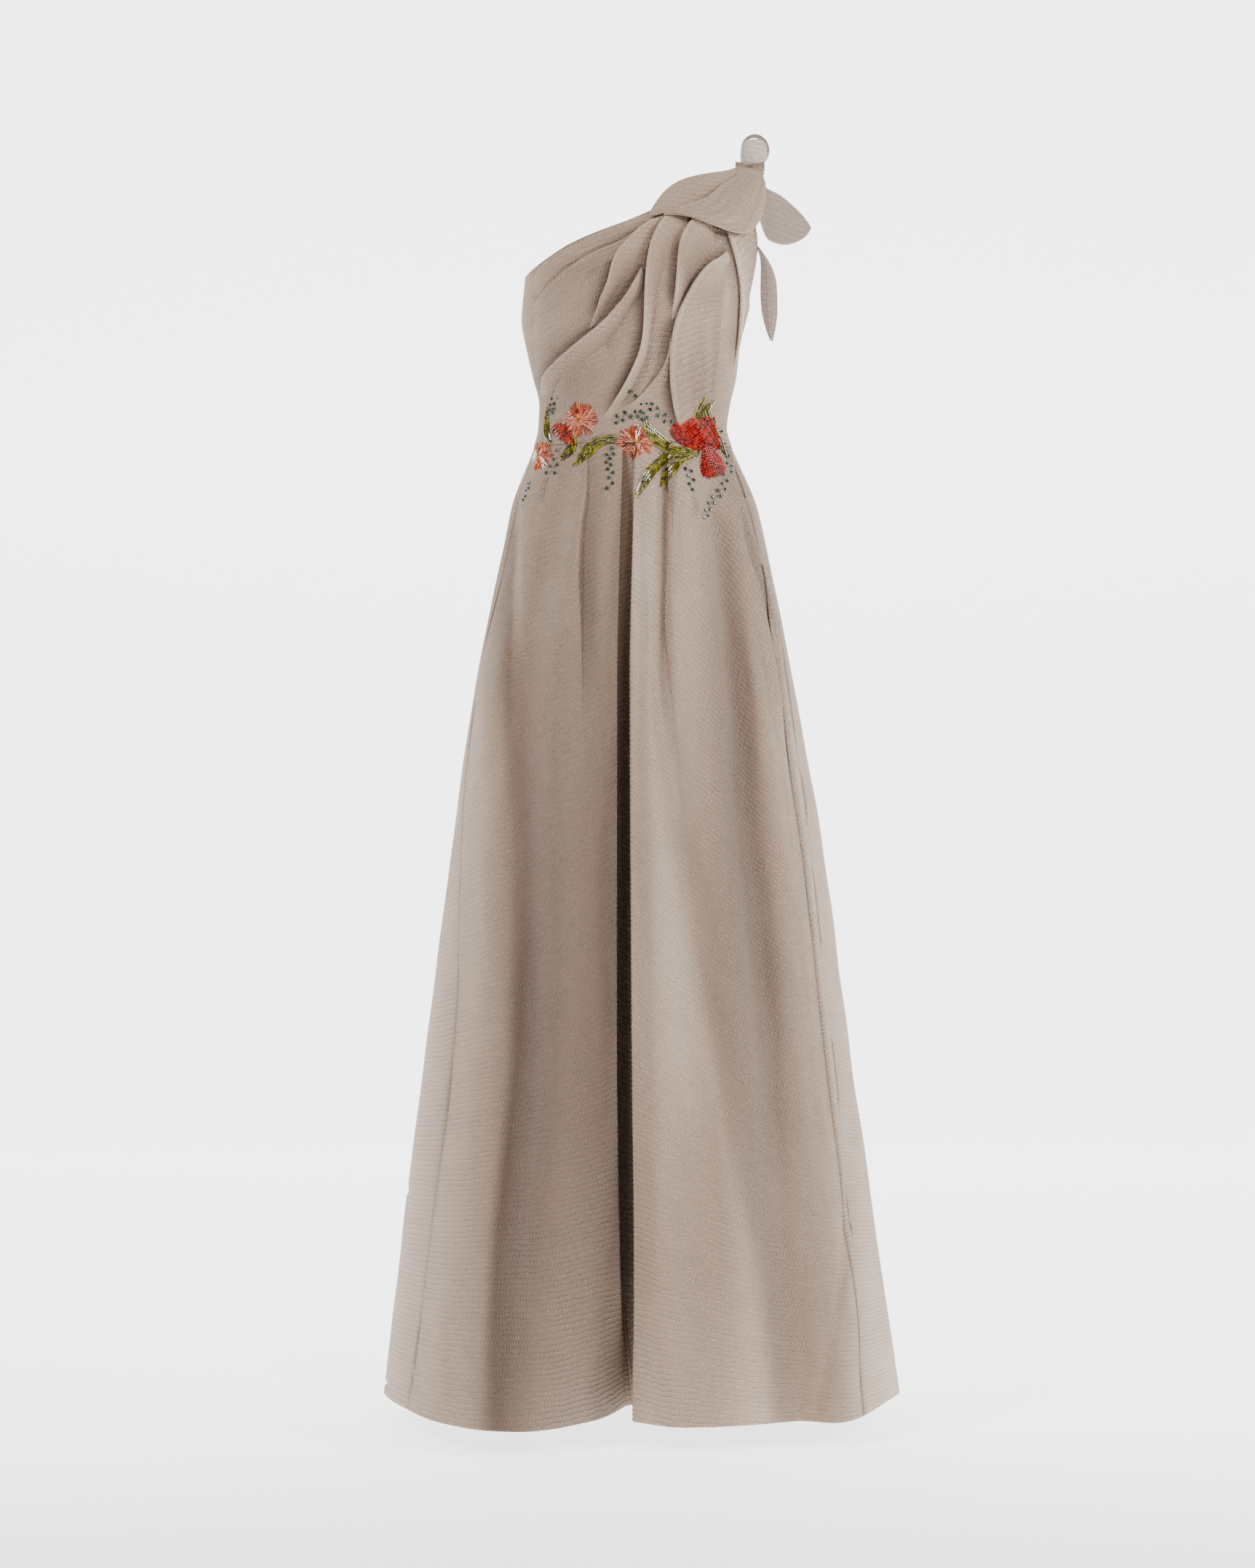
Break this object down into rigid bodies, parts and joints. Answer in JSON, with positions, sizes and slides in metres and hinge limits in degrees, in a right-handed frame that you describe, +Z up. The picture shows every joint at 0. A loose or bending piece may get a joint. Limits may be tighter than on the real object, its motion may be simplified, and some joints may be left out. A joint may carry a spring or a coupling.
{
  "type": "one-shoulder gown",
  "caption": "Floor-length one-shoulder gown, worn form left hollow, with draped bodice, shoulder petals, gathered waist and flared skirt with a centre-front pleat.",
  "frame": {"origin": "underside of the shoulder band, at the crest of the shoulder that holds the gown up", "axes": "+Z up from hem to shoulder, the front faces -Y, +X to the viewer's right (the wearer's left)"},
  "size_m": [0.636, 0.6343, 1.5532],
  "materials": {
    "cloth": "matte crinkled weave, taupe",
    "underlay": "matte, dark taupe in the pleat's shade",
    "drape": "matte fine weave, taupe",
    "petal": "sheer fine weave, pale rose taupe"
  },
  "bodies": {
    "root": {"bodice_front": "cloth", "bodice_back_left": "cloth", "bodice_back_right": "cloth", "skirt_front_left": "cloth", "skirt_front_right": "cloth", "skirt_pleat_underlay": "underlay", "skirt_side_left": "cloth", "skirt_side_right": "cloth", "skirt_back_left": "cloth", "skirt_back_right": "cloth", "drape_fold_upper": "drape", "drape_fold_lower": "drape", "drape_fold_long": "drape", "drape_fold_middle": "drape", "drape_fold_wide": "drape", "side_drape": "drape", "collar_flap": "drape", "shoulder_petal_front": "drape", "shoulder_petal_side": "petal", "shoulder_petal_tail": "petal", "shoulder_strap": "cloth", "shoulder_loop": "underlay", "shoulder_wrap": "petal"}
  },
  "joints": []
}
